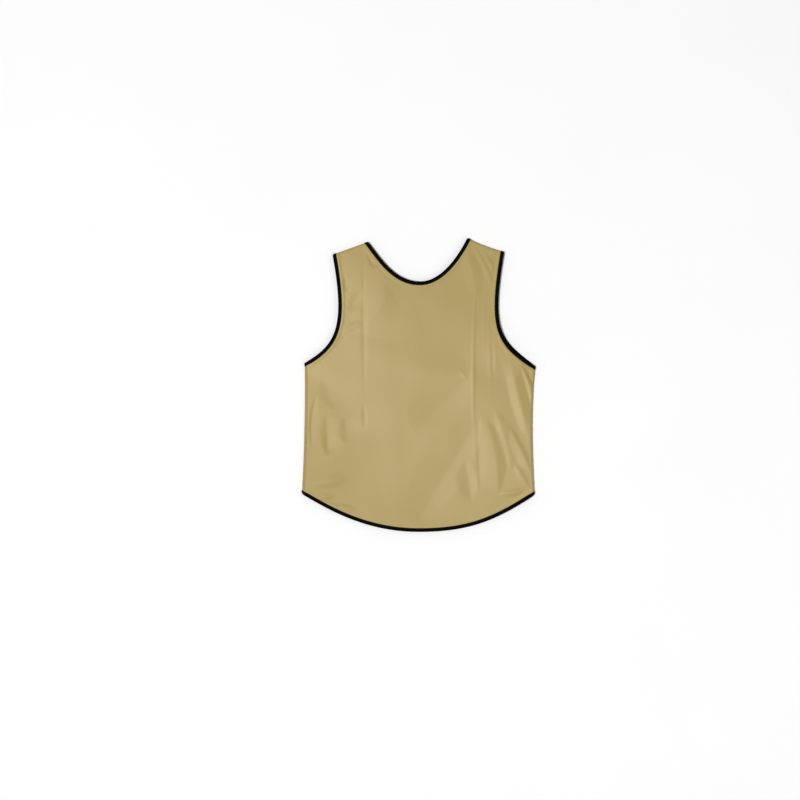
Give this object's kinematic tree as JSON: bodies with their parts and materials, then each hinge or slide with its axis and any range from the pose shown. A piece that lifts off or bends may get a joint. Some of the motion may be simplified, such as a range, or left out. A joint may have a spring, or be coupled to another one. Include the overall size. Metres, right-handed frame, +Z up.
{
  "type": "training bib",
  "caption": "Sleeveless closed-sided sports training bib of plain gold satin cloth with black bound neck, armholes and curved hem, lying flat.",
  "frame": {"origin": "centre of the footprint of the bib as it lies, on the floor under its back panel", "axes": "+Y from the hem to the neck, +X to the wearer's left seen from above, +Z up from the floor, from the back panel to the front"},
  "size_m": [0.569, 0.7124, 0.0163],
  "materials": {
    "panel_cloth": "smooth satin-faced polyester",
    "binding_tape": "matt woven bias tape"
  },
  "bodies": {
    "root": {"front_panel": "panel_cloth", "back_panel": "panel_cloth", "neck_binding": "binding_tape", "armhole_binding_left": "binding_tape", "armhole_binding_right": "binding_tape", "hem_binding": "binding_tape"}
  },
  "joints": []
}
